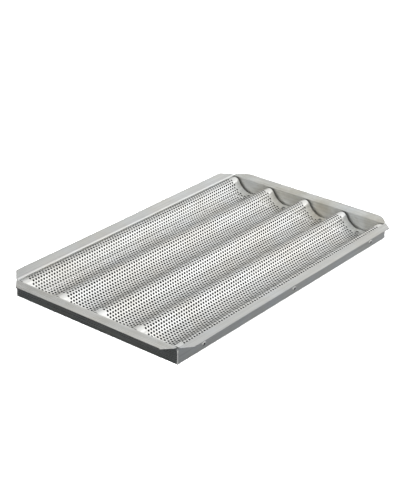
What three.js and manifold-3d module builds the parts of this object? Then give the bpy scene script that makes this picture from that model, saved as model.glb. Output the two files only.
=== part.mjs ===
// Baguette tray: a fluted sheet riveted into a frame of four bent rails with an outward flange.
// Millimetres. X runs along the flutes, Y across them and Z up. The origin is on the ground under
// the middle of the tray. The front is -X and the right side is -Y.
import * as THREE from 'three';
import { mergeVertices } from 'three/addons/utils/BufferGeometryUtils.js';
import Module from 'manifold-3d';

const wasm = await Module();
wasm.setup();

// Frame: outer faces of its walls, and the reach of the flange and of the lip from those faces.
const frameLength = 496;
const frameWidth = 291;
const frameHeight = 27;
const frameGauge = 1.5;
const insideBend = 1;
const outsideBend = insideBend + frameGauge;
const flangeReach = 17;
const lipReach = 18;
const flangeCut = 16.5; // how far a flange end steps back from the corner at its outer edge

// Fluted sheet
const fluteCount = 4;
const sheetGauge = 1;
const gap = 0.3; // between neighbouring pieces
const endGap = 3; // between a sheet end and the wall that it faces
const crestTop = 24.3;
const crestRadius = 9; // crest, edge and trough radii are those of the middle of the sheet
const edgeRadius = 3.7;
const skirtBottom = 7;
const arcStep = THREE.MathUtils.degToRad(9);

const sheetLength = frameLength - 2 * (frameGauge + endGap);
const skirtMiddle = frameWidth / 2 - frameGauge - gap - sheetGauge / 2;
const edgeCrest = skirtMiddle - edgeRadius;
const flutePitch = 2 * edgeCrest / fluteCount;
const crestMiddle = crestTop - sheetGauge / 2;
const troughMiddle = frameGauge + gap + sheetGauge / 2;
const troughTop = troughMiddle + sheetGauge / 2;

// Crest and trough arcs meet tangentially at this angle from their tops.
const meetAngle = 2 * Math.atan2(crestMiddle - troughMiddle, flutePitch / 2);
const troughRadius = flutePitch / 2 / Math.sin(meetAngle) - crestRadius;

// Fasteners
const shankRadius = 1.6;
const holeRadius = shankRadius + gap;
const roundSides = 16;
const endRivetInset = 13.5; // from the outer face of a short wall
const endRivetCountersink = { radius: 2.8, depth: 0.9 };
const endRivetHead = 3; // radius
const sideRivetHead = 3.3;
const sideRivetHeight = 10;
const sideRivetPlaces = [-195, 8, 206]; // along X

// Corner welds and the round relief where two top bends meet
const weldSide = frameGauge;
const weldCorner = 1.2;
const weldBottom = outsideBend;
const weldTop = frameHeight - 4.2;
const reliefRadius = 1.6;
const reliefBottom = frameHeight - 3.8;

const frameMetal = { color: 0xb9bab6, roughness: 0.36, metalness: 1 };
const sheetMetal = { color: 0xcfcfca, roughness: 0.4, metalness: 1 };
const weldMetal = { color: 0xd2d3d0, roughness: 0.3, metalness: 1 };
const rivetMetal = { color: 0xaeb0ae, roughness: 0.35, metalness: 1 };
const mandrelMetal = { color: 0x5f6163, roughness: 0.45, metalness: 1 };

function solid(geometry) {
  const bare = geometry.clone();
  bare.deleteAttribute('normal');
  bare.deleteAttribute('uv');
  const merged = mergeVertices(bare);
  return new wasm.Manifold(new wasm.Mesh({
    numProp: 3,
    vertProperties: new Float32Array(merged.attributes.position.array),
    triVerts: new Uint32Array(merged.index.array),
  }));
}

function geometryOf(manifold) {
  const { vertProperties, triVerts } = manifold.getMesh();
  const geometry = new THREE.BufferGeometry();
  geometry.setAttribute('position', new THREE.BufferAttribute(vertProperties, 3));
  geometry.setIndex(new THREE.BufferAttribute(triVerts, 1));
  geometry.computeVertexNormals();
  return geometry;
}

function cut(geometry, cutters) {
  return geometryOf(cutters.reduce((body, cutter) => body.subtract(solid(cutter)), solid(geometry)));
}

function named(name, geometry, metal) {
  const mesh = new THREE.Mesh(geometry, new THREE.MeshStandardMaterial(metal));
  mesh.name = name;
  return mesh;
}

// A prism standing on z = bottom over an outline in plan.
function prism(outline, bottom, height) {
  const geometry = new THREE.ExtrudeGeometry(outline, { depth: height, bevelEnabled: false, curveSegments: 6 });
  return geometry.translate(0, 0, bottom);
}

// A round cutter along Z.
function roundCutter(x, y, radius, bottom, top, topRadius = radius) {
  const geometry = new THREE.CylinderGeometry(topRadius, radius, top - bottom, roundSides);
  return geometry.rotateX(Math.PI / 2).translate(x, y, (bottom + top) / 2);
}

// Section of a rail: x is the distance out from the wall's outer face, y is the height.
function railSection() {
  const wallIn = -frameGauge;
  const lipBendX = wallIn - insideBend;
  const bendTopY = frameHeight - outsideBend;
  const section = new THREE.Shape();
  section.moveTo(-lipReach, 0);
  section.lineTo(lipBendX, 0);
  section.absarc(lipBendX, outsideBend, outsideBend, -Math.PI / 2, 0, false);
  section.lineTo(0, bendTopY);
  section.absarc(insideBend, bendTopY, insideBend, Math.PI, Math.PI / 2, true);
  section.lineTo(flangeReach, frameHeight - frameGauge);
  section.lineTo(flangeReach, frameHeight);
  section.lineTo(insideBend, frameHeight);
  section.absarc(insideBend, bendTopY, outsideBend, Math.PI / 2, Math.PI, false);
  section.lineTo(wallIn, outsideBend);
  section.absarc(lipBendX, outsideBend, insideBend, 0, -Math.PI / 2, true);
  section.lineTo(-lipReach, frameGauge);
  return section;
}

// What a rail loses at one end, in plan: the flange and the lip are cut at 45 degrees, and the wall
// stops short of the corner to leave room for the weld. side is -1 or 1.
function railEndCutter(length, side) {
  const past = 1;
  const wallEnd = weldSide + gap;
  const slope = flangeCut / flangeReach;
  const outline = new THREE.Shape();
  const point = (out, along) => [out, side * (length / 2 - along)];
  outline.moveTo(...point(flangeReach + past, -past));
  outline.lineTo(...point(flangeReach + past, (flangeReach + past) * slope));
  outline.lineTo(...point(wallEnd / slope, wallEnd));
  outline.lineTo(...point(-frameGauge, wallEnd));
  outline.lineTo(...point(-lipReach - past, lipReach + past + gap));
  outline.lineTo(...point(-lipReach - past, -past));
  return prism(outline, -past, frameHeight + 2 * past);
}

function rail(length, cutters) {
  const blank = new THREE.ExtrudeGeometry(railSection(), {
    depth: length, bevelEnabled: false, curveSegments: 5,
  });
  blank.rotateX(Math.PI / 2).translate(0, length / 2, 0);
  const corner = length / 2 - frameGauge;
  const ends = [-1, 1].flatMap((side) => [
    railEndCutter(length, side),
    roundCutter(-frameGauge, side * corner, reliefRadius, reliefBottom, frameHeight + 1),
  ]);
  return cut(blank, [...ends, ...cutters]);
}

// Where the flutes' lowest lines and highest lines lie across the tray.
const troughLines = Array.from({ length: fluteCount }, (_, i) => -edgeCrest + (i + 0.5) * flutePitch);

function shortRail() {
  const sink = endRivetCountersink;
  const holes = troughLines.flatMap((y) => [
    roundCutter(-endRivetInset, y, holeRadius, -1, frameGauge + 1),
    roundCutter(-endRivetInset, y, sink.radius, 0, sink.depth, holeRadius),
  ]);
  return rail(frameWidth, holes);
}

// side is 1 where the rail's run is turned the other way round, so that its holes meet the rivets.
function longRail(side) {
  const holes = sideRivetPlaces.map((x) => {
    const hole = new THREE.CylinderGeometry(holeRadius, holeRadius, 4 * frameGauge, roundSides);
    return hole.rotateZ(Math.PI / 2).translate(0, -side * x, sideRivetHeight);
  });
  return rail(frameLength, holes);
}

// One face of the fluted sheet across the tray, offset from the middle of its thickness.
function sheetFace(offset) {
  const skirtTop = crestMiddle - edgeRadius;
  const points = [
    new THREE.Vector2(-skirtMiddle - offset, skirtBottom),
    new THREE.Vector2(-skirtMiddle - offset, skirtTop),
  ];
  // Each arc starts at the last point so far.
  const arc = (y, z, radius, from, to) => {
    const steps = Math.ceil(Math.abs(to - from) / arcStep);
    for (let i = 1; i <= steps; i += 1) {
      const angle = from + (to - from) * i / steps;
      points.push(new THREE.Vector2(y + radius * Math.cos(angle), z + radius * Math.sin(angle)));
    }
  };
  const up = Math.PI / 2;
  const down = 3 * Math.PI / 2;
  arc(-edgeCrest, skirtTop, edgeRadius + offset, Math.PI, up);
  for (const trough of troughLines) {
    const crestZ = crestMiddle - crestRadius;
    arc(trough - flutePitch / 2, crestZ, crestRadius + offset, up, up - meetAngle);
    arc(trough, troughMiddle + troughRadius, troughRadius - offset, down - meetAngle, down + meetAngle);
    arc(trough + flutePitch / 2, crestZ, crestRadius + offset, up + meetAngle, up);
  }
  arc(edgeCrest, skirtTop, edgeRadius + offset, up, 0);
  points.push(new THREE.Vector2(skirtMiddle + offset, skirtBottom));
  return points;
}

function flutedSheet() {
  const outline = new THREE.Shape([
    ...sheetFace(-sheetGauge / 2),
    ...sheetFace(sheetGauge / 2).reverse(),
  ]);
  const blank = new THREE.ExtrudeGeometry(outline, { depth: sheetLength, bevelEnabled: false });
  // The outline's x and y become the tray's Y and Z.
  blank.applyMatrix4(new THREE.Matrix4().makeBasis(
    new THREE.Vector3(0, 1, 0), new THREE.Vector3(0, 0, 1), new THREE.Vector3(1, 0, 0)));
  blank.translate(-sheetLength / 2, 0, 0);
  const endHoles = [-1, 1].flatMap((end) => troughLines.map((y) => (
    roundCutter(end * (frameLength / 2 - endRivetInset), y, holeRadius, 0, troughTop + 2))));
  const skirtHoles = [-1, 1].flatMap((side) => sideRivetPlaces.map((x) => {
    const hole = new THREE.CylinderGeometry(holeRadius, holeRadius, 4 * sheetGauge, roundSides);
    return hole.translate(x, side * skirtMiddle, sideRivetHeight);
  }));
  return cut(blank, [...endHoles, ...skirtHoles]);
}

// A turned piece standing along Z; the profile's points are [radius, height] round a closed section.
function turned(profile) {
  const points = [...profile, profile[0]].map(([radius, height]) => new THREE.Vector2(radius, height));
  return geometryOf(solid(new THREE.LatheGeometry(points, roundSides).rotateX(Math.PI / 2)));
}

// A hollow rivet, its head up in the trough and its foot spread in the lip's countersink.
function endRivet() {
  const bore = 1;
  const seat = troughTop + gap;
  const foot = 0.1;
  return turned([
    [bore, foot],
    [endRivetCountersink.radius - 0.4, foot],
    [shankRadius, endRivetCountersink.depth],
    [shankRadius, seat],
    [endRivetHead, seat],
    [endRivetHead, seat + 0.3],
    [2.4, seat + 0.9],
    [1.6, seat + 1.1],
    [bore, seat + 0.8],
  ]);
}

// A blind rivet; heights run out from the wall's outer face.
const blindBore = shankRadius - 0.5;
const blindTailEnd = -7.5;

function blindRivet() {
  const blindSide = -(frameGauge + gap + sheetGauge + gap);
  return turned([
    [blindBore, blindTailEnd],
    [1.9, blindTailEnd],
    [2.4, blindTailEnd + 1],
    [2.4, blindSide - 0.6],
    [shankRadius, blindSide],
    [shankRadius, 0.15],
    [sideRivetHead, 0.15],
    [sideRivetHead - 0.2, 0.6],
    [2.3, 1.2],
    [blindBore, 1.4],
  ]);
}

function mandrel() {
  const stub = blindBore - 0.25;
  const headStart = blindTailEnd - 0.2;
  return turned([
    [0, headStart - 1.5],
    [0.9, headStart - 1.3],
    [1.5, headStart - 0.7],
    [1.5, headStart],
    [stub, headStart],
    [stub, 0.9],
    [0, 1.05],
  ]);
}

// A bead down the outside of a corner, drawn in plan with the corner at the outline's origin.
function cornerWeld() {
  const outline = new THREE.Shape();
  outline.moveTo(weldSide, 0);
  outline.lineTo(weldSide, weldSide);
  outline.lineTo(0, weldSide);
  outline.lineTo(0, weldCorner);
  outline.absarc(weldCorner, weldCorner, weldCorner, Math.PI, 3 * Math.PI / 2, false);
  return prism(outline, weldBottom, weldTop - weldBottom);
}

function placed(mesh, x, y, turn) {
  mesh.position.set(x, y, 0);
  mesh.rotation.z = turn;
  return mesh;
}

const tray = new THREE.Group();

tray.add(
  placed(named('front_rail', shortRail(), frameMetal), -frameLength / 2, 0, Math.PI),
  placed(named('back_rail', shortRail(), frameMetal), frameLength / 2, 0, 0),
  placed(named('left_rail', longRail(1), frameMetal), 0, frameWidth / 2, Math.PI / 2),
  placed(named('right_rail', longRail(-1), frameMetal), 0, -frameWidth / 2, -Math.PI / 2),
  named('perforated_sheet', flutedSheet(), sheetMetal),
);

const corners = [
  ['front_right', -1, -1, 0],
  ['back_right', 1, -1, Math.PI / 2],
  ['back_left', 1, 1, Math.PI],
  ['front_left', -1, 1, -Math.PI / 2],
];
for (const [corner, endSide, longSide, turn] of corners) {
  const weld = named(`corner_weld_${corner}`, cornerWeld(), weldMetal);
  tray.add(placed(weld, endSide * frameLength / 2, longSide * frameWidth / 2, turn));
}

for (const [end, side] of [['front', -1], ['back', 1]]) {
  troughLines.forEach((y, i) => {
    const rivet = named(`flute_rivet_${end}_${i + 1}`, endRivet(), rivetMetal);
    tray.add(placed(rivet, side * (frameLength / 2 - endRivetInset), y, 0));
  });
}

for (const [long, side] of [['right', -1], ['left', 1]]) {
  sideRivetPlaces.forEach((x, i) => {
    const fastener = new THREE.Group();
    fastener.add(
      named(`side_rivet_${long}_${i + 1}`, blindRivet(), rivetMetal),
      named(`side_mandrel_${long}_${i + 1}`, mandrel(), mandrelMetal),
    );
    fastener.position.set(x, side * frameWidth / 2, sideRivetHeight);
    fastener.rotation.x = -side * Math.PI / 2;
    tray.add(fastener);
  });
}

export default tray;
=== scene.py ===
"""A baguette tray: a perforated, fluted sheet riveted into a frame of bent aluminium rails.

X runs along the flutes, Y across them and Z up. The front is -X and the right side is -Y.
Lengths are in metres; MM turns the millimetres of sheet-metal sizes into them.
"""

import math

import bpy
import numpy as np
from mathutils import Matrix, Vector


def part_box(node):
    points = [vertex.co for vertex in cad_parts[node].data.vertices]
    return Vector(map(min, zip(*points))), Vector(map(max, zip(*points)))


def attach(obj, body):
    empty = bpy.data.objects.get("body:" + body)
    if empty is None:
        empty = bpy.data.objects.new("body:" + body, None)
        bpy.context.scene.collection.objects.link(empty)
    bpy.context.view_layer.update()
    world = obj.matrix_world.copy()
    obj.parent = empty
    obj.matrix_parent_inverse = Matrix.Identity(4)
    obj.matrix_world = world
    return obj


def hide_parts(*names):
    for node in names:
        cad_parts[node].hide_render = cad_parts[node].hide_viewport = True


MM = 0.001
UP = Vector((0, 0, 1))

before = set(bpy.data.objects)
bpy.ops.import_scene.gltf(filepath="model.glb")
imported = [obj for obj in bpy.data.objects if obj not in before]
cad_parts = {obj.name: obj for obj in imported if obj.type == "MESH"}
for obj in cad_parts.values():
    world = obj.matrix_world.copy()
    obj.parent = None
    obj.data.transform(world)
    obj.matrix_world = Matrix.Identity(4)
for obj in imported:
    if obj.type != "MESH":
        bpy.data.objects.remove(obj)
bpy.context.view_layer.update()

# ---------------------------------------------------------------- sizes

FRAME_GAUGE = 1.5 * MM
INSIDE_BEND = 1.0 * MM
OUTSIDE_BEND = INSIDE_BEND + FRAME_GAUGE
FLANGE_REACH = 17 * MM
LIP_REACH = 18 * MM
FLANGE_CUT = 16.5 * MM  # how far a flange end steps back at its outer edge
SIDE_SPRING = 2.2 * MM  # how far the long flanges' free edges spring up after folding
FLANGE_TIP = 5 * MM  # rounding of a flange's tips in plan
BACK_TIP = 24 * MM  # the same on the back rail, which is rounder
EDGE_BREAK = 0.22 * MM  # rounding of the rails' sheared edges
RELIEF_RADIUS = 1.9 * MM  # the hole at a corner where the bends of two rails meet
RELIEF_DEPTH = 4.2 * MM

SHEET_GAUGE = 1 * MM
SKIRT_FOOT = 7 * MM  # height of a skirt's lower edge
CREST_RADIUS = 9 * MM  # radii of the middle of the sheet
EDGE_INSET = 3.7 * MM  # from a skirt to the middle of the nearest crest
EDGE_RADIUS = 2.2 * MM
FLUTES = 4
HOLE_PITCH = 5.22 * MM
HOLE_RADIUS = 1.7 * MM
ROW_SPACING = HOLE_PITCH * math.sqrt(3) / 2
HOLE_SIDES = 12
END_MARGIN = 12 * MM  # plain metal between the last holes and a sheet end
SKIRT_MARGIN = 14 * MM  # plain metal along a sheet's long edge

RIVET_SHANK = 1.6 * MM  # radii of the rivets
FLUTE_HEAD = 3 * MM
FLUTE_BORE = 1.55 * MM
SIDE_HEAD = 3.3 * MM
SIDE_BORE = 1.45 * MM
AXIS = 0.0001 * MM  # the radius at which a turned piece's outline closes

front_low, front_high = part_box("front_rail")
right_low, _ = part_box("right_rail")
sheet_low, sheet_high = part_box("perforated_sheet")

HALF_LENGTH = -front_low.x - FLANGE_REACH  # to the outer faces of the walls
HALF_WIDTH = -right_low.y - FLANGE_REACH
HEIGHT = front_high.z


# ---------------------------------------------------------------- mesh helpers


def mesh_object(name, vertices, faces, materials, face_materials=None):
    mesh = bpy.data.meshes.new(name)
    mesh.from_pydata([tuple(v) for v in vertices], [], faces)
    for material in materials:
        mesh.materials.append(material)
    if face_materials is not None:
        mesh.polygons.foreach_set("material_index", face_materials)
    mesh.polygons.foreach_set("use_smooth", [True] * len(mesh.polygons))
    mesh.validate()
    piece = bpy.data.objects.new(name, mesh)
    bpy.context.scene.collection.objects.link(piece)
    return piece


def sharpen(piece, degrees):
    piece.data.set_sharp_from_angle(angle=math.radians(degrees))
    return piece


def keep(piece, nodes):
    """Attaches a finished piece to the tray's root body, so that it rides on the tray, and hides the CAD
    nodes that it stands for.
    """
    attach(piece, "root")
    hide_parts(*nodes)
    return piece


def turned(name, profile, materials, turn, place, sides=40, second=()):
    """A piece turned about an axis. profile is a closed loop of (radius, height).

    The stretches of the profile numbered in second take the second material.
    """
    vertices = []
    for i in range(sides):
        angle = math.tau * i / sides
        for radius, height in profile:
            point = Vector((radius * math.cos(angle), radius * math.sin(angle), height))
            vertices.append(turn @ point + place)
    count = len(profile)
    faces = []
    for i in range(sides):
        for j in range(count):
            here, beside = i * count, (i + 1) % sides * count
            following = (j + 1) % count
            faces.append((here + j, here + following, beside + following, beside + j))
    kinds = [int(j in second) for j in range(count)] * sides
    return sharpen(mesh_object(name, vertices, faces, materials, kinds), 40)


# ---------------------------------------------------------------- materials


class Nodes:
    """Short names for building a node material."""

    def __init__(self, name):
        self.material = bpy.data.materials.new(name)
        self.material.use_nodes = True
        self.tree = self.material.node_tree
        self.shader = self.tree.nodes["Principled BSDF"]
        self.place = self.add("ShaderNodeTexCoord").outputs["Object"]

    def add(self, kind, **settings):
        node = self.tree.nodes.new(kind)
        for key, value in settings.items():
            setattr(node, key, value)
        return node

    def link(self, source, target):
        self.tree.links.new(source, target)

    def noise(self, scale, detail=3.0, roughness=0.55, stretch=(1, 1, 1), offset=(0, 0, 0)):
        mapping = self.add("ShaderNodeMapping")
        mapping.inputs["Scale"].default_value = stretch
        mapping.inputs["Location"].default_value = offset
        self.link(self.place, mapping.inputs["Vector"])
        noise = self.add("ShaderNodeTexNoise")
        noise.inputs["Scale"].default_value = scale
        noise.inputs["Detail"].default_value = detail
        noise.inputs["Roughness"].default_value = roughness
        self.link(mapping.outputs["Vector"], noise.inputs["Vector"])
        return noise.outputs["Fac"]

    def ramp(self, source, low, high, low_at=0.3, high_at=0.7):
        """Runs from low to high as source goes from low_at to high_at; numbers or colours."""
        if isinstance(low, (int, float)):
            node = self.add("ShaderNodeMapRange")
            for key, value in zip(("From Min", "From Max", "To Min", "To Max"), (low_at, high_at, low, high)):
                node.inputs[key].default_value = value
            self.link(source, node.inputs["Value"])
            return node.outputs["Result"]
        node = self.add("ShaderNodeValToRGB")
        node.color_ramp.elements[0].position = low_at
        node.color_ramp.elements[0].color = (*low, 1)
        node.color_ramp.elements[1].position = high_at
        node.color_ramp.elements[1].color = (*high, 1)
        self.link(source, node.inputs["Fac"])
        return node.outputs["Color"]

    def mix(self, factor, a, b, blend="MIX"):
        node = self.add("ShaderNodeMix", data_type="RGBA", blend_type=blend)
        if isinstance(factor, (int, float)):
            node.inputs[0].default_value = factor
        else:
            self.link(factor, node.inputs[0])
        self.link(a, node.inputs[6])
        self.link(b, node.inputs[7])
        return node.outputs[2]

    def math(self, operation, a, b):
        node = self.add("ShaderNodeMath", operation=operation)
        for socket, value in zip(node.inputs, (a, b)):
            if isinstance(value, (int, float)):
                socket.default_value = value
            else:
                self.link(value, socket)
        return node.outputs[0]

    def bump(self, height, strength, distance, normal=None):
        node = self.add("ShaderNodeBump")
        node.inputs["Strength"].default_value = strength
        node.inputs["Distance"].default_value = distance
        self.link(height, node.inputs["Height"])
        if normal is not None:
            self.link(normal, node.inputs["Normal"])
        return node.outputs["Normal"]

    def finish(self, colour, roughness, normal, metallic=1.0):
        self.shader.inputs["Metallic"].default_value = metallic
        self.link(colour, self.shader.inputs["Base Color"])
        self.link(roughness, self.shader.inputs["Roughness"])
        self.link(normal, self.shader.inputs["Normal"])
        return self.material


def rolled_aluminium(name, tone, roughness, grain, warmth=0.02, stain=0.0, scratch=0.25, dents=0.3):
    """Bare sheet with fine rolling grain. grain is the stretch of its noise, small along the grain."""
    nodes = Nodes(name)
    fine = nodes.noise(1.0, 4, 0.6, stretch=grain)
    cloudy = nodes.noise(14, 4, 0.55)
    cool = [tone * (1 - warmth), tone, tone * (1 + 0.6 * warmth)]
    warm = [tone * (1 + 0.4 * warmth), tone * 0.995, tone * (1 - 2.2 * warmth)]
    colour = nodes.ramp(cloudy, cool, warm, 0.35, 0.65)

    streaks = nodes.noise(1.0, 3, 0.6, stretch=[0.4 * value for value in grain], offset=(2.2, 0.9, 7.7))
    colour = nodes.mix(1.0, colour, nodes.ramp(streaks, [0.88] * 3, [1.0] * 3, 0.36, 0.62), "MULTIPLY")
    colour = nodes.mix(1.0, colour, nodes.ramp(fine, [0.90] * 3, [1.0] * 3, 0.35, 0.65), "MULTIPLY")
    patches = nodes.noise(38, 3, 0.6, offset=(3.1, 1.7, 0.4))
    dull = nodes.ramp(patches, [1 - stain, 1 - 1.1 * stain, 1 - 1.35 * stain], [1.0] * 3, 0.30, 0.62)
    colour = nodes.mix(1.0, colour, dull, "MULTIPLY")

    fine_rough = nodes.ramp(fine, roughness - 0.05, roughness + 0.06, 0.3, 0.7)
    rough = nodes.math("ADD", fine_rough, nodes.ramp(cloudy, -0.03, 0.04, 0.35, 0.65))

    lines = nodes.noise(1.0, 2, 0.5, stretch=[0.35 * value for value in grain], offset=(0.7, 5.3, 2.9))
    normal = nodes.bump(nodes.noise(34, 2, 0.5, offset=(1.3, 4.1, 0.2)), dents, 0.6 * MM)
    normal = nodes.bump(fine, 0.22, 0.04 * MM, normal)
    normal = nodes.bump(nodes.ramp(lines, 0.0, 1.0, 0.58, 0.64), scratch, 0.03 * MM, normal)
    return nodes.finish(colour, rough, normal)


def small_metal(name, tone, roughness):
    """Turned or welded metal with fine pitting."""
    nodes = Nodes(name)
    pits = nodes.noise(1800, 3, 0.6)
    cloudy = nodes.noise(260, 3, 0.5)
    dull = [tone * 0.88, tone * 0.88, tone * 0.87]
    colour = nodes.ramp(cloudy, dull, [tone, tone, tone * 0.985], 0.35, 0.65)
    rough = nodes.ramp(pits, roughness - 0.06, roughness + 0.08)
    normal = nodes.bump(pits, 0.3, 0.03 * MM)
    return nodes.finish(colour, rough, normal)


ALONG_X = (14, 900, 900)
ALONG_Y = (900, 14, 900)

SHEET_METAL = rolled_aluminium("sheet_aluminium", 0.94, 0.36, ALONG_X, warmth=0.015, stain=0.06, scratch=0.15)
# The sheet's underside is much darker than its top (tone 0.36 against 0.94), with patches: painted shade
# under the sheet.
SHEET_UNDER_PAINTED_SHADE = rolled_aluminium("sheet_underside_painted_shade", 0.36, 0.50, ALONG_X, warmth=0.03, stain=0.25, scratch=0.1)
# The holes' walls are nearly black: painted shade inside the holes.
HOLE_WALL_PAINTED_SHADE = rolled_aluminium("hole_wall_painted_shade", 0.08, 0.55, ALONG_X, warmth=0.03)
LONG_RAIL_METAL = rolled_aluminium("long_rail_aluminium", 0.77, 0.34, ALONG_X, stain=0.05)
FRONT_RAIL_METAL = rolled_aluminium("front_rail_aluminium", 0.78, 0.28, ALONG_Y, stain=0.10, dents=0.4)
BACK_RAIL_METAL = rolled_aluminium("back_rail_aluminium", 0.80, 0.50, ALONG_Y, warmth=0.03, stain=0.18,
                                   dents=0.8)
WELD_METAL = small_metal("weld_bead", 0.82, 0.30)
SIDE_RIVET_METAL = small_metal("side_rivet_aluminium", 0.92, 0.24)
FLUTE_RIVET_METAL = small_metal("flute_rivet_aluminium", 0.42, 0.40)
MANDREL_METAL = small_metal("mandrel_steel", 0.16, 0.50)
# Near-black: painted shade in the rivets' bores.
BORE_PAINTED_SHADE = small_metal("bore_painted_shade", 0.05, 0.70)


# ---------------------------------------------------------------- fluted sheet


class SheetSection:
    """The middle line of the fluted sheet across the tray, from the right skirt to the left one."""

    def __init__(self):
        quarter = math.pi / 2
        skirt_y = sheet_high.y - SHEET_GAUGE / 2
        crest_z = sheet_high.z - SHEET_GAUGE / 2
        trough_z = sheet_low.z + SHEET_GAUGE / 2
        edge_y = skirt_y - EDGE_INSET
        edge_z = crest_z - EDGE_RADIUS
        flat = EDGE_INSET - EDGE_RADIUS
        pitch = 2 * edge_y / FLUTES
        meet = 2 * math.atan2(crest_z - trough_z, pitch / 2)
        trough_radius = pitch / 2 / math.sin(meet) - CREST_RADIUS
        self.parts = []
        self.trough_top = trough_z + SHEET_GAUGE / 2
        self.line(-skirt_y, SKIRT_FOOT, edge_z - SKIRT_FOOT, (0, 1))
        self.arc(-edge_y - flat, edge_z, EDGE_RADIUS, math.pi, -quarter)
        self.line(-edge_y - flat, crest_z, flat, (1, 0))
        for y in [-edge_y + (i + 0.5) * pitch for i in range(FLUTES)]:
            self.arc(y - pitch / 2, crest_z - CREST_RADIUS, CREST_RADIUS, quarter, -meet)
            self.arc(y, trough_z + trough_radius, trough_radius, 3 * quarter - meet, 2 * meet)
            self.arc(y + pitch / 2, crest_z - CREST_RADIUS, CREST_RADIUS, quarter + meet, -meet)
        self.line(edge_y, crest_z, flat, (1, 0))
        self.arc(edge_y + flat, edge_z, EDGE_RADIUS, quarter, -quarter)
        self.line(skirt_y, edge_z, edge_z - SKIRT_FOOT, (0, -1))
        self.length = sum(part["length"] for part in self.parts)

    def line(self, y, z, length, heading):
        self.parts.append({"kind": "line", "y": y, "z": z, "length": length, "heading": heading})

    def arc(self, y, z, radius, start, turn):
        """An arc about (y, z) from the angle start. Where turn is negative, it is a crest seen from above."""
        self.parts.append({"kind": "arc", "y": y, "z": z, "radius": radius, "start": start,
                           "turn": turn, "length": abs(turn) * radius})

    def at(self, along):
        """Positions (y, z) and upward normals (y, z) at distances along the middle line."""
        place = np.zeros((len(along), 2))
        normal = np.zeros((len(along), 2))
        begin = 0.0
        last = self.parts[-1]
        for part in self.parts:
            end = begin + part["length"]
            here = (along >= begin) & ((along < end) | (part is last))
            if part is self.parts[0]:
                here |= along < begin
            distance = along[here] - begin
            if part["kind"] == "line":
                heading_y, heading_z = part["heading"]
                place[here, 0] = part["y"] + heading_y * distance
                place[here, 1] = part["z"] + heading_z * distance
                normal[here] = (-heading_z, heading_y)
            else:
                angle = part["start"] + part["turn"] * distance / part["length"]
                ray = np.stack([np.cos(angle), np.sin(angle)], axis=1)
                place[here] = np.array([part["y"], part["z"]]) + part["radius"] * ray
                normal[here] = ray if part["turn"] < 0 else -ray
            begin = end
        return place, normal


SECTION = SheetSection()


def sheet_ripple(x, along):
    """Slight unevenness of a hand-sized pressed sheet, along its normal."""
    wave = np.sin(x * 31 + along * 17 + 0.6) + 0.6 * np.sin(x * 57 - along * 43 + 2.1)
    return 0.07 * MM * (wave + 0.5 * np.sin(x * 103 + along * 71))


def sheet_points(x, along, side):
    """Points of the sheet's upper (side 1) or lower (side -1) face."""
    place, normal = SECTION.at(along)
    offset = side * SHEET_GAUGE / 2 + sheet_ripple(x, along)
    return np.stack([x, place[:, 0] + normal[:, 0] * offset, place[:, 1] + normal[:, 1] * offset], axis=1)


def sheet_normals(x, along, side):
    step = 0.05 * MM
    across = sheet_points(x, along + step, side) - sheet_points(x, along - step, side)
    down = sheet_points(x + step, along, side) - sheet_points(x - step, along, side)
    normals = side * np.cross(down, across)
    return normals / np.linalg.norm(normals, axis=1, keepdims=True)


HALF_SHEET = sheet_high.x
COLUMNS = 2 * int((HALF_SHEET - END_MARGIN) / HOLE_PITCH)  # half pitches either side of the middle
ROWS = int((SECTION.length - 2 * SKIRT_MARGIN) / ROW_SPACING)
FIRST_ROW = (SECTION.length - ROWS * ROW_SPACING) / 2
QUARTERS = 4  # steps across one row of cells


def cell_rim(column, row):
    """Lattice places (half pitches, quarter rows) round one hole's cell, matching the hole's corners."""
    b = QUARTERS * row
    right = [(column + 1, b + quarter) for quarter in (2, 3, 4)]
    left = [(column - 1, b + quarter) for quarter in (4, 3, 2, 1, 0)]
    return [*right, (column, b + 4), *left, (column, b), (column + 1, b), (column + 1, b + 1)]


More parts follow.
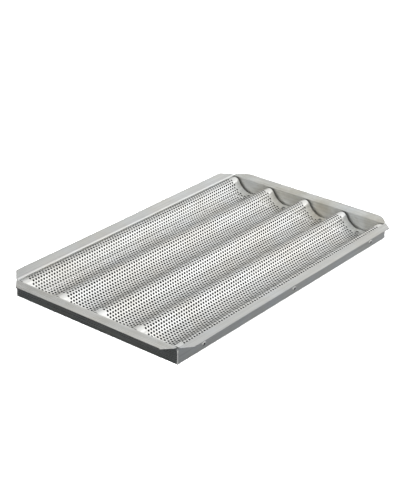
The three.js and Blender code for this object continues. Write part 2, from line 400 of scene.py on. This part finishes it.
class SheetStrip:
    """A lengthwise strip of the perforated sheet: some rows of holes and, at an edge, the plain skirt."""

    def __init__(self):
        self.flat = []  # (x, distance along the section)
        self.index = {}
        self.faces = []  # of flat vertices, seen from above

    def vertex(self, key, x, along):
        if key not in self.index:
            self.index[key] = len(self.flat)
            self.flat.append((x, along))
        return self.index[key]

    def lattice(self, a, b):
        x = max(-HALF_SHEET, min(HALF_SHEET, a * HOLE_PITCH / 2))
        return self.vertex((a, b), x, FIRST_ROW + b * ROW_SPACING / QUARTERS)

    def end(self, side, b):
        return self.vertex(("end", side, b), side * HALF_SHEET, FIRST_ROW + b * ROW_SPACING / QUARTERS)

    def hole(self, column, row):
        x, along = column * HOLE_PITCH / 2, FIRST_ROW + (row + 0.5) * ROW_SPACING
        ring = []
        for k in range(HOLE_SIDES):
            angle = math.tau * k / HOLE_SIDES
            corner_x, corner_along = x + HOLE_RADIUS * math.cos(angle), along + HOLE_RADIUS * math.sin(angle)
            ring.append(self.vertex(("hole", column, row, k), corner_x, corner_along))
        rim = [self.lattice(a, b) for a, b in cell_rim(column, row)]
        for k in range(HOLE_SIDES):
            after = (k + 1) % HOLE_SIDES
            self.faces.append((ring[k], rim[k], rim[after], ring[after]))

    def row(self, row):
        last = COLUMNS - row % 2  # every other row is set back by half a pitch
        for column in range(-last, last + 1, 2):
            self.hole(column, row)
        for side in (-1, 1):
            for quarter in range(QUARTERS):
                b = QUARTERS * row + quarter
                cell_side = side * (last + 1)
                loop = [self.end(side, b), self.lattice(cell_side, b)]
                if row % 2 and quarter == 0:
                    loop.insert(1, self.lattice(side * (COLUMNS + 1), b))
                loop.append(self.lattice(cell_side, b + 1))
                if row % 2 and quarter == QUARTERS - 1:
                    loop.append(self.lattice(side * (COLUMNS + 1), b + 1))
                loop.append(self.end(side, b + 1))
                self.faces.append(tuple(loop if side < 0 else reversed(loop)))

    def skirt(self, b, outward, levels=4):
        """Plain metal from lattice line b to the sheet's long edge."""
        edge = 0.0 if outward < 0 else SECTION.length
        start = FIRST_ROW + b * ROW_SPACING / QUARTERS
        xs = list(range(-COLUMNS - 1, COLUMNS + 2))
        lines = [[self.end(-1, b), *(self.lattice(a, b) for a in xs), self.end(1, b)]]
        for level in range(1, levels + 1):
            along = start + (edge - start) * level / levels
            line = [self.vertex(("skirt", outward, level, i), self.flat[v][0], along)
                    for i, v in enumerate(lines[0])]
            lines.append(line)
        for low, high in zip(lines, lines[1:]):
            for i in range(len(low) - 1):
                quad = (low[i], low[i + 1], high[i + 1], high[i])
                self.faces.append(quad if outward > 0 else quad[::-1])

    def build(self, name):
        """The solid strip: an upper face, a lower face and walls at the holes and edges."""
        flat = np.array(self.flat)
        count = len(flat)
        top = sheet_points(flat[:, 0], flat[:, 1], 1)
        bottom = sheet_points(flat[:, 0], flat[:, 1], -1)
        top_normals = sheet_normals(flat[:, 0], flat[:, 1], 1)
        bottom_normals = sheet_normals(flat[:, 0], flat[:, 1], -1)
        upper = self.faces
        lower = [tuple(v + count for v in reversed(face)) for face in self.faces]
        edges = dict.fromkeys(pair for face in self.faces for pair in zip(face, face[1:] + face[:1]))
        walls = [(b, a, a + count, b + count) for a, b in edges if (b, a) not in edges]
        faces = upper + lower + walls
        kinds = [0] * len(upper) + [1] * len(lower) + [2] * len(walls)
        # The lower face and the hole walls take darker materials: painted shade.
        materials = [SHEET_METAL, SHEET_UNDER_PAINTED_SHADE, HOLE_WALL_PAINTED_SHADE]
        piece = mesh_object(name, np.concatenate([top, bottom]), faces, materials, kinds)
        normals = np.zeros((len(piece.data.loops), 3))
        loops = np.zeros(len(piece.data.loops), int)
        piece.data.loops.foreach_get("vertex_index", loops)
        surface_loops = sum(len(face) for face in upper + lower)
        every = np.concatenate([top_normals, bottom_normals])
        normals[:surface_loops] = every[loops[:surface_loops]]
        sharpen(piece, 40)
        piece.data.normals_split_custom_set([tuple(n) for n in normals])
        return piece


def fluted_sheet():
    for flute in range(FLUTES):
        strip = SheetStrip()
        for row in range(ROWS * flute // FLUTES, ROWS * (flute + 1) // FLUTES):
            strip.row(row)
        if flute == 0:
            strip.skirt(0, -1)
        if flute == FLUTES - 1:
            strip.skirt(QUARTERS * ROWS, 1)
        keep(strip.build(f"perforated_flute_{flute + 1}"), ["perforated_sheet"])


# ---------------------------------------------------------------- rails


def rail_path():
    """The middle of a rail's section from the flange's edge to the lip's.

    Each point is (out from the wall's outer face, z, normal out, normal z). Points crowd together at the
    flange's edge, for its rounded tips, and at the relief.
    """
    points = []
    middle = INSIDE_BEND + FRAME_GAUGE / 2
    flange_z = HEIGHT - FRAME_GAUGE / 2
    for share in np.linspace(0, 1, 18)[:-1]:
        points.append((FLANGE_REACH - (FLANGE_REACH - INSIDE_BEND) * share ** 2, flange_z, 0, 1))
    for angle in np.linspace(math.pi / 2, math.pi, 10):
        across, upward = math.cos(angle), math.sin(angle)
        z = HEIGHT - OUTSIDE_BEND + middle * upward
        points.append((INSIDE_BEND + middle * across, z, across, upward))
    relief_bottom = HEIGHT - RELIEF_DEPTH
    for z in [HEIGHT - RELIEF_DEPTH * 0.85, relief_bottom, relief_bottom - 0.2 * MM,
              *np.linspace(relief_bottom - 3 * MM, OUTSIDE_BEND, 6)[:-1]]:
        points.append((-FRAME_GAUGE / 2, z, -1, 0))
    for angle in np.linspace(0, -math.pi / 2, 10):
        across, upward = math.cos(angle), math.sin(angle)
        points.append((-OUTSIDE_BEND + middle * across, OUTSIDE_BEND + middle * upward, -across, -upward))
    for out in np.linspace(-OUTSIDE_BEND, -LIP_REACH, 5)[1:]:
        points.append((out, FRAME_GAUGE / 2, 0, 1))
    return points


def rail_setback(out, z, tip):
    """How far a rail ends from the frame's corner, at a distance out from the wall's outer face."""
    slope = FLANGE_CUT / FLANGE_REACH
    wall_end = FRAME_GAUGE
    if out > 0:
        root = math.sqrt(1 + slope * slope)
        centre = FLANGE_REACH - tip
        if out > centre + tip * slope / root:
            rounded = math.sqrt(max(0.0, tip ** 2 - (out - centre) ** 2))
            return slope * centre + tip * root - rounded
        back = max(wall_end, slope * out)
    elif out > -OUTSIDE_BEND or z > OUTSIDE_BEND:
        back = wall_end
    else:
        back = -out
    if z > HEIGHT - RELIEF_DEPTH and abs(out) < RELIEF_RADIUS:
        back = max(back, math.sqrt(RELIEF_RADIUS ** 2 - out ** 2))
    return back


def rail_wobble(along, out, z, seed, spring):
    """Slight waviness of a hand-folded rail, mostly at the flange's free edge, which springs up a little."""
    free = max(0.0, out) / FLANGE_REACH
    sideways = 0.10 * MM * math.sin(along * 23 + seed) + 0.05 * MM * math.sin(along * 61 + 2 * seed)
    upright = 0.22 * MM * math.sin(along * 19 + 1.3 * seed) + 0.10 * MM * math.sin(along * 47 + seed)
    return sideways * min(1.0, z / HEIGHT + 0.3), (upright + spring) * free


def rail(name, half_run, outward, along_axis, wall_distance, material, spring, seed, tip=FLANGE_TIP):
    """A bent strip whose wall stands at wall_distance in the direction outward."""
    path = rail_path()
    steps = 72
    vertices = []
    for side in (1, -1):
        for out, z, normal_out, normal_z in path:
            edge_out = out + side * normal_out * FRAME_GAUGE / 2
            edge_z = z + side * normal_z * FRAME_GAUGE / 2
            reach = half_run - rail_setback(edge_out, edge_z, tip)
            for i in range(steps + 1):
                along = reach * (2 * i / steps - 1)
                sideways, upright = rail_wobble(along, out, z, seed, spring)
                place = outward * (wall_distance + edge_out + sideways) + along_axis * along
                vertices.append(place + UP * (edge_z + upright))
    rows, columns = len(path), steps + 1
    below = rows * columns
    faces = []
    for j in range(rows - 1):
        for i in range(steps):
            a, b = j * columns + i, j * columns + i + 1
            c, d = b + columns, a + columns
            faces.append((a, d, c, b))
            faces.append((a + below, b + below, c + below, d + below))
        for i in (0, steps):
            a, d = j * columns + i, (j + 1) * columns + i
            cap = (a, a + below, d + below, d)
            faces.append(cap if i == 0 else cap[::-1])
    for i in range(steps):
        first, last = i, (rows - 1) * columns + i
        faces.append((first, first + 1, first + 1 + below, first + below))
        faces.append((last, last + below, last + 1 + below, last + 1))
    if outward.cross(along_axis).dot(UP) > 0:
        faces = [face[::-1] for face in faces]
    piece = sharpen(mesh_object(name, vertices, faces, [material]), 35)
    bevel = piece.modifiers.new("edge", "BEVEL")
    bevel.width = EDGE_BREAK
    bevel.segments = 2
    bevel.limit_method = "ANGLE"
    bevel.angle_limit = math.radians(50)
    bevel.harden_normals = True
    return keep(piece, [name])


def frame_rails():
    x_axis, y_axis = Vector((1, 0, 0)), Vector((0, 1, 0))
    rail("front_rail", HALF_WIDTH, -x_axis, y_axis, HALF_LENGTH, FRONT_RAIL_METAL, 0, 0.7)
    rail("back_rail", HALF_WIDTH, x_axis, y_axis, HALF_LENGTH, BACK_RAIL_METAL, 0, 2.9, BACK_TIP)
    rail("left_rail", HALF_LENGTH, y_axis, x_axis, HALF_WIDTH, LONG_RAIL_METAL, SIDE_SPRING, 4.4)
    rail("right_rail", HALF_LENGTH, -y_axis, x_axis, HALF_WIDTH, LONG_RAIL_METAL, SIDE_SPRING, 1.9)


# ---------------------------------------------------------------- welds and rivets


def corner_weld(name, corner):
    """A rippled bead standing between two walls' ends, thicker at its foot."""
    bottom, top = 1.3 * MM, HEIGHT - RELIEF_DEPTH - 1.3 * MM
    inset, radius = 0.85 * MM, 1.2 * MM
    x = corner.x - math.copysign(inset, corner.x)
    y = corner.y - math.copysign(inset, corner.y)
    rings, sides = 90, 20
    vertices = []
    for j in range(rings + 1):
        share = j / rings
        z = bottom + (top - bottom) * share
        taper = max(0.05, math.sqrt(1 - (2 * share - 1) ** 16))
        ripple = 1 + 0.05 * math.sin(math.tau * z / (1.3 * MM)) + 0.03 * math.sin(z / MM * 1.1)
        foot = 1 + 0.45 * math.exp(-(share / 0.1) ** 2)
        spread = radius * taper * ripple * foot
        for i in range(sides):
            angle = math.tau * i / sides
            vertices.append((x + spread * math.cos(angle), y + spread * math.sin(angle), z))
    faces = [tuple(range(sides))[::-1], tuple(rings * sides + i for i in range(sides))]
    for j in range(rings):
        for i in range(sides):
            a, b = j * sides + i, j * sides + (i + 1) % sides
            faces.append((a, b, b + sides, a + sides))
    return keep(mesh_object(name, vertices, faces, [WELD_METAL]), [name])


def rounded_head(radius, height, bore, seat=0.0, steps=7):
    """The outline of a domed head from its rim to its bore, as (radius, height)."""
    points = []
    for i in range(steps + 1):
        angle = math.pi / 2 * i / steps
        rise = height * (0.25 + 0.75 * math.sin(angle))
        points.append((bore + (radius - bore) * math.cos(angle), seat + rise))
    return points


def flute_rivet(name):
    """A rivet through the sheet and the lip. A near-black disc closes its bore: painted shade in the hole."""
    low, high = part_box(name)
    place = (low + high) / 2
    foot = Vector((place.x, place.y, 0))
    seat = SECTION.trough_top
    shade_disc_height = seat + 0.2 * MM
    flare = 2.4 * MM
    tail = [(AXIS, low.z), (flare, low.z), (RIVET_SHANK, 0.9 * MM), (RIVET_SHANK, seat), (FLUTE_HEAD, seat)]
    head = rounded_head(FLUTE_HEAD, 1.2 * MM, FLUTE_BORE, seat)
    profile = tail + head + [(FLUTE_BORE, shade_disc_height), (AXIS, shade_disc_height)]
    # The disc that closes the bore is near-black: painted shade.
    bore = range(len(profile) - 3, len(profile))
    upright = Matrix.Identity(3)
    piece = turned(name, profile, [FLUTE_RIVET_METAL, BORE_PAINTED_SHADE], upright, foot, second=bore)
    return keep(piece, [name])


def side_rivet(name, mandrel_name):
    """A set blind rivet with its mandrel's stub. Heights run outward from the wall's outer face."""
    low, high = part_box(name)
    middle = (low + high) / 2
    side = math.copysign(1, middle.y)
    wall = Vector((middle.x, side * HALF_WIDTH, middle.z))
    turn = Matrix.Rotation(-side * math.pi / 2, 3, "X")
    bulge, tail_end, under_head = 2.4 * MM, -7.5 * MM, 0.05 * MM
    tail = [(SIDE_BORE, tail_end), (1.9 * MM, tail_end), (bulge, -6.5 * MM), (bulge, -3.6 * MM),
            (RIVET_SHANK, -3.1 * MM), (RIVET_SHANK, under_head), (SIDE_HEAD, under_head)]
    profile = tail + rounded_head(SIDE_HEAD, 1.9 * MM, SIDE_BORE)
    # The bore's wall is near-black: painted shade in the hole.
    bore = [len(profile) - 1]
    body = turned(name, profile, [SIDE_RIVET_METAL, BORE_PAINTED_SHADE], turn, wall, second=bore)
    keep(body, [name])

    knob, neck, stub = 1.5 * MM, 0.9 * MM, 1.35 * MM
    outline = [(AXIS, -9.2 * MM), (neck, -9 * MM), (knob, -8.4 * MM), (knob, -7.7 * MM), (neck, -7.6 * MM),
               (stub, -0.6 * MM), (stub, 0.2 * MM), (AXIS, 0.35 * MM)]
    return keep(turned(mandrel_name, outline, [MANDREL_METAL], turn, wall, 24), [mandrel_name])


def fasteners():
    for name in sorted(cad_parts):
        if name.startswith("flute_rivet"):
            flute_rivet(name)
        elif name.startswith("side_rivet"):
            side_rivet(name, name.replace("rivet", "mandrel"))
        elif name.startswith("corner_weld"):
            x = HALF_LENGTH if "back" in name else -HALF_LENGTH
            y = HALF_WIDTH if name.endswith("left") else -HALF_WIDTH
            corner_weld(name, Vector((x, y, 0)))


# ---------------------------------------------------------------- stage

# Directions in which the studio, as the tray mirrors it, is darker or lighter.
DARK_GAP = (0.20, 0.80, 0.55)
HIGH_GAP = (0.45, 0.50, 0.74)
LIT_FLOOR_SIDE = (1.0, -0.3, -0.3)
NEAR_FLOOR = (-0.75, -0.60, -0.30)


def rectangle(half_x, half_y, z):
    return [(-half_x, -half_y, z), (half_x, -half_y, z), (half_x, half_y, z), (-half_x, half_y, z)]


def painted_shade_sheet():
    """A near-black sheet under the tray, inside its lips: painted shade under the sheet, so that the holes
    look dark.
    """
    margin, z = LIP_REACH + 3 * MM, 0.4 * MM
    corners = rectangle(HALF_LENGTH - margin, HALF_WIDTH - margin, z)
    nodes = Nodes("painted_shade_black")
    shade_speckle = nodes.noise(900, 3, 0.6)
    normal = nodes.bump(shade_speckle, 0.4, 0.0002)
    # Near-black colour: painted shade under the tray, not a real mat.
    colour = nodes.ramp(shade_speckle, [0.003] * 3, [0.008] * 3)
    material = nodes.finish(colour, nodes.ramp(shade_speckle, 0.9, 1.0), normal, metallic=0.0)
    mesh_object("painted_shade_sheet", corners, [(0, 1, 2, 3)], [material])


def floor():
    """Pale paper."""
    corners = rectangle(6.0, 6.0, 0)
    nodes = Nodes("floor_paper")
    grain = nodes.noise(300, 3, 0.5)
    colour = nodes.ramp(grain, [0.86] * 3, [0.88] * 3)
    rough = nodes.ramp(grain, 0.85, 0.95)
    normal = nodes.bump(grain, 0.05, 0.0002)
    material = nodes.finish(colour, rough, normal, metallic=0.0)
    piece = mesh_object("floor", corners, [(0, 1, 2, 3)], [material])
    # Polished walls mirror the dim studio around the floor, and not the bright paper.
    piece.visible_glossy = False


def softbox(name, direction, distance, size, power):
    """A lamp that faces the tray from a direction."""
    light = bpy.data.lights.new(name, "AREA")
    light.shape = "RECTANGLE"
    light.size, light.size_y = size
    light.energy = power
    lamp = bpy.data.objects.new(name, light)
    lamp.location = Vector(direction).normalized() * distance
    lamp.rotation_euler = (-lamp.location).to_track_quat("-Z", "Y").to_euler()
    bpy.context.scene.collection.objects.link(lamp)
    return lamp


def studio():
    """A soft white room, darker behind the tray's left side, over a floor that shines less."""
    world = bpy.data.worlds.new("studio")
    bpy.context.scene.world = world
    world.use_nodes = True
    tree = world.node_tree
    direction = tree.nodes.new("ShaderNodeTexCoord").outputs["Generated"]

    def glow(towards, low_at, high_at, low, high):
        """A colour that goes from low to high as a direction turns towards the given one."""
        facing = tree.nodes.new("ShaderNodeVectorMath")
        facing.operation = "DOT_PRODUCT"
        facing.inputs[1].default_value = Vector(towards).normalized()
        tree.links.new(direction, facing.inputs[0])
        spread = tree.nodes.new("ShaderNodeMapRange")
        spread.data_type = "FLOAT_VECTOR"
        vector_sockets = (7, 8, 9, 10)  # from min, from max, to min, to max
        for socket, value in zip(vector_sockets, (low_at, high_at, low, high)):
            spread.inputs[socket].default_value = value if isinstance(value, tuple) else (value,) * 3
        tree.links.new(facing.outputs["Value"], spread.inputs[6])
        return spread.outputs["Vector"]

    def combine(operation, first, *others):
        result = first
        for other in others:
            node = tree.nodes.new("ShaderNodeVectorMath")
            node.operation = operation
            tree.links.new(result, node.inputs[0])
            tree.links.new(other, node.inputs[1])
            result = node.outputs["Vector"]
        return result

    room = glow(DARK_GAP, 0.875, 0.925, (0.98, 0.985, 0.97), (0.25, 0.25, 0.25))
    high_gap = glow(HIGH_GAP, 0.955, 0.99, 1, 0.55)
    low_wall = glow(UP, 0.36, 0.50, 0.90, 1)
    floor_side = glow(LIT_FLOOR_SIDE, 0.80, 0.97, (0.07, 0.075, 0.077), (0.46, 0.475, 0.49))
    near_floor = glow(NEAR_FLOOR, 0.70, 0.97, 0, 0.9)
    above = combine("MULTIPLY", room, high_gap, low_wall, glow(UP, -0.10, 0.04, 0, 1))
    below = combine("MULTIPLY", combine("ADD", floor_side, near_floor), glow(UP, -0.10, 0.04, 1, 0))
    tree.links.new(combine("ADD", above, below), tree.nodes["Background"].inputs["Color"])
    world.cycles_visibility.diffuse = False

    softbox("key", (0.704, -0.60, 0.40), 2.2, (1.6, 1.5), 4.5)
    wash = softbox("floor_wash", (-0.6, -0.45, 0.8), 6.0, (6.0, 6.0), 2400)
    wash.visible_glossy = False


def camera():
    """Looks down on the tray's front right corner."""
    turn, rise, roll = math.radians(-51.64), math.radians(26.04), math.radians(0.99)
    distance = 2.0734
    target = Vector((0.0332, 0.0438, 0))
    back = Vector((math.sin(turn) * math.cos(rise), -math.cos(turn) * math.cos(rise), math.sin(rise)))
    right = (-back).cross(UP).normalized()
    up = right.cross(-back)
    rolled_right = right * math.cos(roll) + up * math.sin(roll)
    rolled_up = -right * math.sin(roll) + up * math.cos(roll)
    data = bpy.data.cameras.new("camera")
    data.sensor_width = 36
    data.lens = 99.72
    view = bpy.data.objects.new("camera", data)
    view.matrix_world = Matrix.Translation(target + back * distance) @ Matrix(
        (rolled_right, rolled_up, back)).transposed().to_4x4()
    bpy.context.scene.collection.objects.link(view)
    bpy.context.scene.camera = view


bpy.context.scene.view_settings.view_transform = "Standard"
fluted_sheet()
frame_rails()
fasteners()
floor()
painted_shade_sheet()
studio()
camera()
